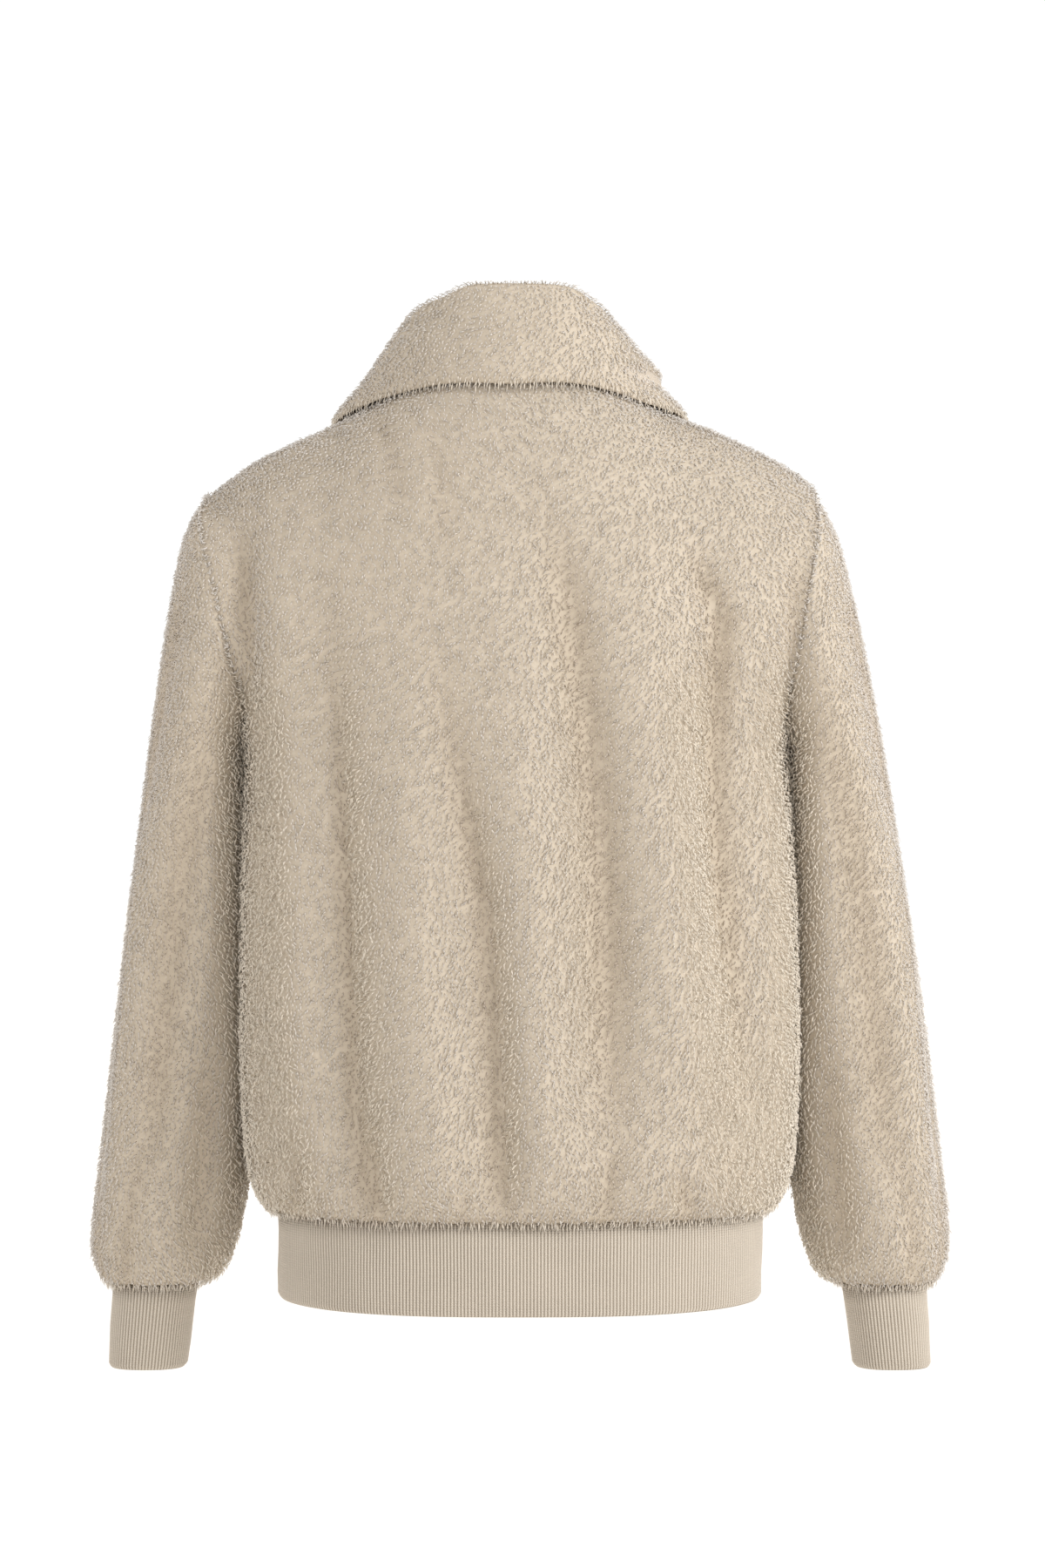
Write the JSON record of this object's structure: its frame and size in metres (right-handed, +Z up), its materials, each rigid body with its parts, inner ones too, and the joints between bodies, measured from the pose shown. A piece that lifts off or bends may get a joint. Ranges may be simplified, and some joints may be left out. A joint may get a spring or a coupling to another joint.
{
  "type": "sherpa jacket",
  "caption": "Cream curly pile bomber jacket with a turned-down collar, set-in sleeves, ribbed waistband and cuffs and a front zip, in its worn shape with the neck, hem and cuffs open.",
  "frame": {"origin": "midway between the two points where the shoulder seams meet the collar, which is where a wearer's shoulders carry the jacket", "axes": "+Z up, -Y towards the front with its zip, +X towards the jacket's own left sleeve"},
  "size_m": [0.6009, 0.2615, 0.746],
  "materials": {
    "pile": "matt curly pile of short combed locks",
    "rib": "matt fine rib knit",
    "tape": "matt woven zip tape",
    "zip_metal": "satin cast metal"
  },
  "bodies": {
    "jacket": {"back": "pile", "front_left": "pile", "front_right": "pile", "sleeve_left": "pile", "sleeve_right": "pile", "collar": "pile", "waistband": "rib", "cuff_left": "rib", "cuff_right": "rib", "zip_tape_left": "tape", "zip_tape_right": "tape", "zip_slider": "zip_metal"},
    "pull": {"zip_pull": "zip_metal"}
  },
  "joints": [
    {"name": "pull_swing", "type": "hinge", "parent": "jacket", "child": "pull", "pos_m": [0.00672, -0.09305, -0.08188], "axis": [-1, 0, 0], "range_deg": [0, 165]}
  ]
}
